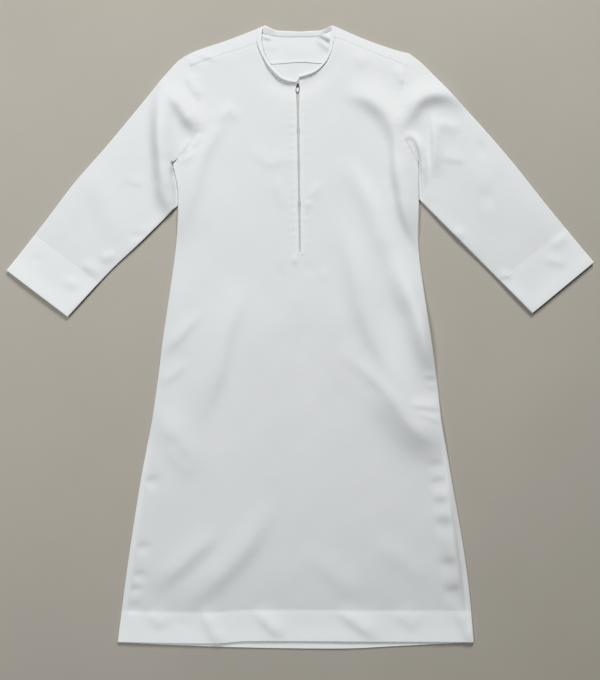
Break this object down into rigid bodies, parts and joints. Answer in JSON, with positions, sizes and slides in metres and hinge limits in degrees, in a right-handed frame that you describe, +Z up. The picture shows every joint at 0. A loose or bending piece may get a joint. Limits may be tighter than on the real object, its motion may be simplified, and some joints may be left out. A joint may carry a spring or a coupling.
{
  "type": "thobe robe",
  "caption": "Ankle-length A-line robe laid flat, front up, with long straight sleeves spread, round neck with a folded binding, shoulder yoke, short centre-front zip and deep hems.",
  "frame": {"origin": "under the middle of the laid-out spread, on the surface that the robe lies on", "axes": "+X to the right of a viewer who looks down on the front with the neck away from them, +Y from the hem towards the neck, +Z up, off the surface and out of the front"},
  "size_m": [1.309, 1.3891, 0.0248],
  "materials": {
    "front": "fine plain weave, faint sheen",
    "back": "fine plain weave, faint sheen",
    "yoke": "fine plain weave, faint sheen",
    "sleeve_left": "fine plain weave, faint sheen",
    "sleeve_right": "fine plain weave, faint sheen",
    "neck_binding": "fine plain weave, faint sheen",
    "zip_tape_left": "woven tape, matt",
    "zip_tape_right": "woven tape, matt",
    "zip_slider": "satin",
    "zip_pull": "satin"
  },
  "bodies": {
    "garment": {"front": "front", "back": "back", "yoke": "yoke", "sleeve_left": "sleeve_left", "sleeve_right": "sleeve_right", "neck_binding": "neck_binding", "zip_tape_left": "zip_tape_left", "zip_tape_right": "zip_tape_right", "zip_slider": "zip_slider"},
    "pull": {"zip_pull": "zip_pull"}
  },
  "joints": [
    {"name": "pull_swing", "type": "hinge", "parent": "garment", "child": "pull", "pos_m": [-0.006, 0.5605, 0.00738], "axis": [-1, 0, 0], "range_deg": [0, 150]}
  ]
}
